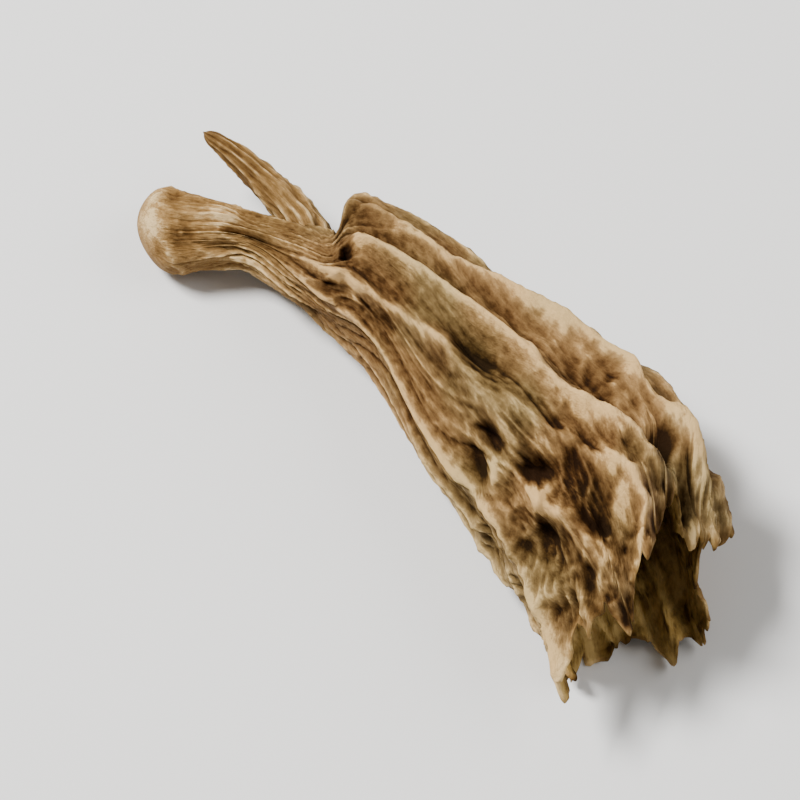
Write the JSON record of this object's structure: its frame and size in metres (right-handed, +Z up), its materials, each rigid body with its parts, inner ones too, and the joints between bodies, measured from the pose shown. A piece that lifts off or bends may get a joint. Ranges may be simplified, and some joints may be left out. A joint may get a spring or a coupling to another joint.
{
  "type": "dried black trumpet mushroom",
  "caption": "Dried black trumpet mushroom lying on its side: knobbed foot, side root, curved stem and a flattened, pleated, hollow funnel with a ragged rim.",
  "frame": {"origin": "centre of the bounding box's base, on the surface that the mushroom lies on", "axes": "+X from the foot to the mouth of the funnel, +Z up from the surface it lies on"},
  "size_m": [0.015, 0.0068, 0.0037],
  "materials": {
    "dried_flesh": "matte, wrinkled, tan ridges over near-black grooves, pale foot"
  },
  "bodies": {
    "root": {"mushroom": "dried_flesh"}
  },
  "joints": []
}
